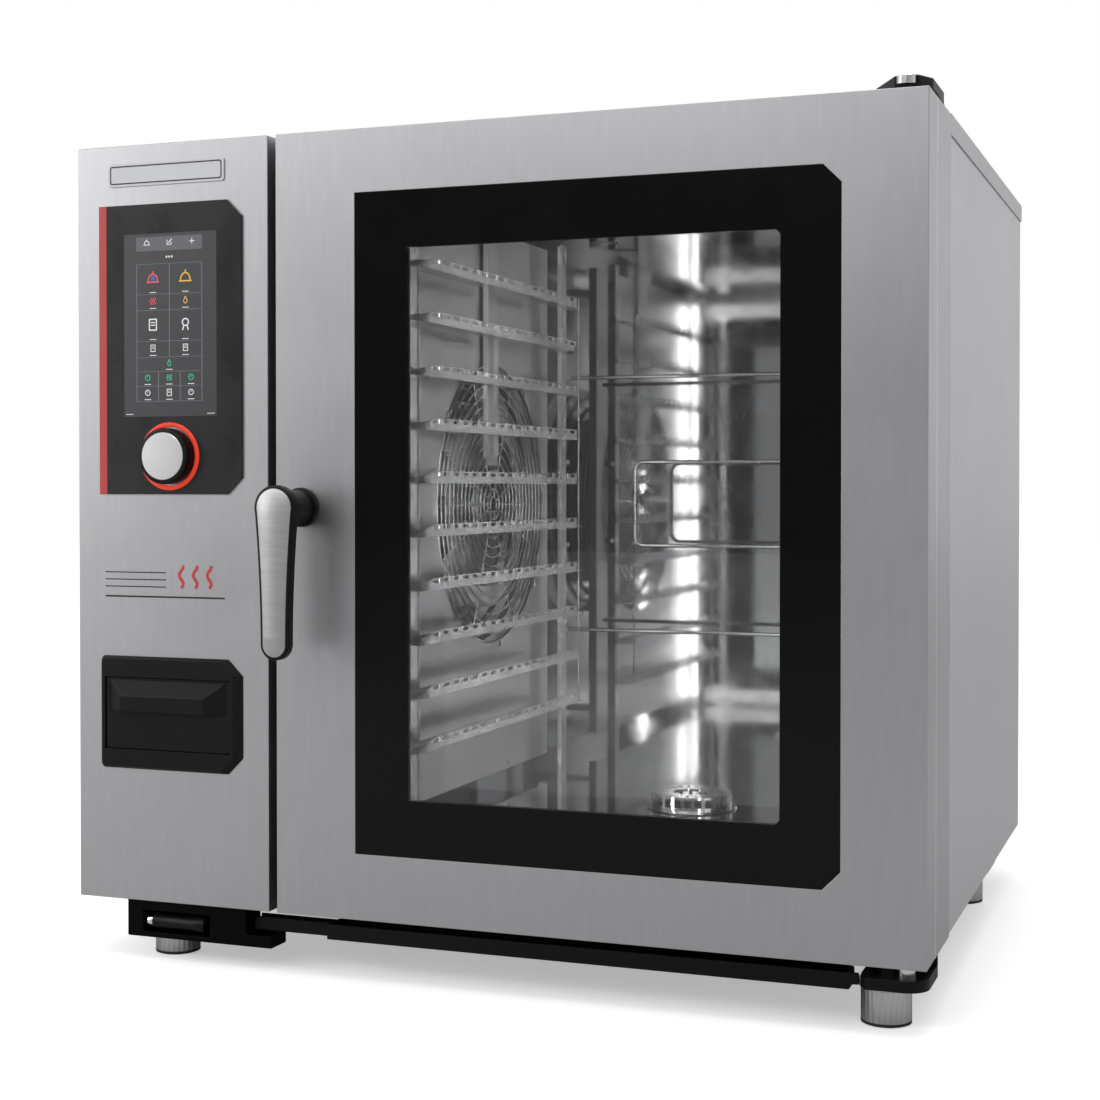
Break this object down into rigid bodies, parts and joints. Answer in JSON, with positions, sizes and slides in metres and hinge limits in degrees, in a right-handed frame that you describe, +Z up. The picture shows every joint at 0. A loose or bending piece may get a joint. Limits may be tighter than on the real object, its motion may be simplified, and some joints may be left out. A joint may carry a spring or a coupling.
{
  "type": "combi steamer oven",
  "caption": "Electric combi steamer oven with a control column, glazed swing door with lever handle, racked cooking cavity, side fan and levelling feet",
  "frame": {"origin": "at floor level, in the middle of the footprint that runs from the front of the handle to the end of the drain spigot", "axes": "+X to the right seen from the front, +Y from the front to the back, +Z up"},
  "size_m": [1.075, 1.03, 1.065],
  "materials": {
    "outer_steel": "fine vertical and horizontal brushed stainless steel",
    "side_steel": "satin stainless steel sheet",
    "cavity_steel": "bright rolled stainless steel",
    "rack_steel": "bright stainless steel",
    "polished_wire": "polished",
    "foot_steel": "fluted stainless steel",
    "handle_steel": "brushed across the lever",
    "heater_steel": "heat-darkened tube",
    "knob_aluminium": "circularly brushed",
    "badge": "satin plate",
    "brass": "machined",
    "black_metal": "satin black powder coat",
    "motor_paint": "satin grey paint",
    "black_plastic": "fine moulded grain",
    "grey_plastic": "smooth",
    "circuit_board": "populated circuit board",
    "cartridge_white": "blow-moulded",
    "panel_black": "black-backed glass",
    "accent_red": "smooth",
    "light_ring": "translucent light guide",
    "led_white": "diffusing cover",
    "seal_rubber": "silicone",
    "mineral_wool": "mineral wool slab",
    "door_glass": "tempered"
  },
  "bodies": {
    "cabinet": {"front_frame": "outer_steel", "left_side_panel": "side_steel", "right_side_panel": "side_steel", "top_cover": "outer_steel", "rear_panel": "side_steel", "base_pan": "side_steel", "control_fascia": "outer_steel", "badge_plate": "badge", "cavity_liner": "cavity_steel", "cavity_insulation": "mineral_wool", "door_gasket": "seal_rubber", "air_baffle": "cavity_steel", "fan_grille": "polished_wire", "fan_motor": "motor_paint", "heating_elements": "heater_steel", "water_injector": "cavity_steel", "left_rack": "rack_steel", "right_rack": "rack_steel", "tray_stop_rods": "polished_wire", "drain_pipe": "grey_plastic", "water_inlet_valve": "brass", "cable_gland": "black_plastic", "vent_pipe": "side_steel", "lower_hinge_arm": "black_metal", "upper_hinge_arm": "black_metal", "hinge_pins": "polished_wire", "display_glass": "panel_black", "accent_strip": "accent_red", "touch_display": "circuit_board", "power_board": "circuit_board", "knob_light_ring": "light_ring", "encoder_housing": "black_plastic", "drawer_housing": "black_plastic", "shower_dock": "black_plastic", "case_screws": "polished_wire"},
    "door": {"door_skin": "outer_steel", "door_outer_glass": "door_glass", "glass_carrier": "black_metal", "door_light_strips": "led_white", "door_inner_frame": "cavity_steel", "door_inner_glass": "door_glass", "hinge_bushes": "grey_plastic", "door_drip_tray": "black_metal", "handle_boss": "black_plastic"},
    "handle": {"handle_lever": "black_plastic", "handle_inlay": "handle_steel", "handle_spindle": "polished_wire"},
    "fan_rotor": {"fan_wheel": "cavity_steel", "fan_shaft": "polished_wire"},
    "plunger": {"encoder_plunger": "polished_wire"},
    "knob": {"knob_body": "black_plastic", "knob_cap": "knob_aluminium"},
    "drawer": {"detergent_drawer": "black_plastic", "detergent_cartridge": "cartridge_white"},
    "sieve": {"drain_sieve": "polished_wire"},
    "shower": {"hand_shower": "black_plastic"},
    "levelling_front_left": {"foot_front_left": "foot_steel"},
    "levelling_front_right": {"foot_front_right": "foot_steel"},
    "levelling_rear_left": {"foot_rear_left": "foot_steel"},
    "levelling_rear_right": {"foot_rear_right": "foot_steel"}
  },
  "joints": [
    {"name": "door_swing", "type": "hinge", "parent": "cabinet", "child": "door", "pos_m": [0.5115, -0.421, 0.5515], "axis": [0, 0, 1], "range_deg": [0, 180]},
    {"name": "handle_turn", "type": "hinge", "parent": "door", "child": "handle", "pos_m": [-0.2185, -0.445, 0.573], "axis": [0, 1, 0], "range_deg": [-90, 90]},
    {"name": "fan_spin", "type": "hinge", "parent": "cabinet", "child": "fan_rotor", "pos_m": [-0.2175, 0.055, 0.572], "axis": [1, 0, 0], "continuous": true},
    {"name": "knob_push", "type": "slide", "parent": "cabinet", "child": "plunger", "axis": [0, 1, 0], "range_m": [0, 0.0015], "stiffness_N_per_m": 1500},
    {"name": "knob_turn", "type": "hinge", "parent": "plunger", "child": "knob", "pos_m": [-0.4022, -0.445, 0.636], "axis": [0, 1, 0], "continuous": true},
    {"name": "drawer_slide", "type": "slide", "parent": "cabinet", "child": "drawer", "axis": [0, -1, 0], "range_m": [0, 0.17]},
    {"name": "sieve_lift", "type": "slide", "parent": "cabinet", "child": "sieve", "axis": [0, 0, 1], "range_m": [0, 0.08]},
    {"name": "shower_pull", "type": "slide", "parent": "cabinet", "child": "shower", "axis": [0, -1, 0], "range_m": [0, 0.12]},
    {"name": "level_front_left", "type": "slide", "parent": "cabinet", "child": "levelling_front_left", "axis": [0, 0, -1], "range_m": [0, 0.015]},
    {"name": "level_front_right", "type": "slide", "parent": "cabinet", "child": "levelling_front_right", "axis": [0, 0, -1], "range_m": [0, 0.015]},
    {"name": "level_rear_left", "type": "slide", "parent": "cabinet", "child": "levelling_rear_left", "axis": [0, 0, -1], "range_m": [0, 0.015]},
    {"name": "level_rear_right", "type": "slide", "parent": "cabinet", "child": "levelling_rear_right", "axis": [0, 0, -1], "range_m": [0, 0.015]}
  ]
}
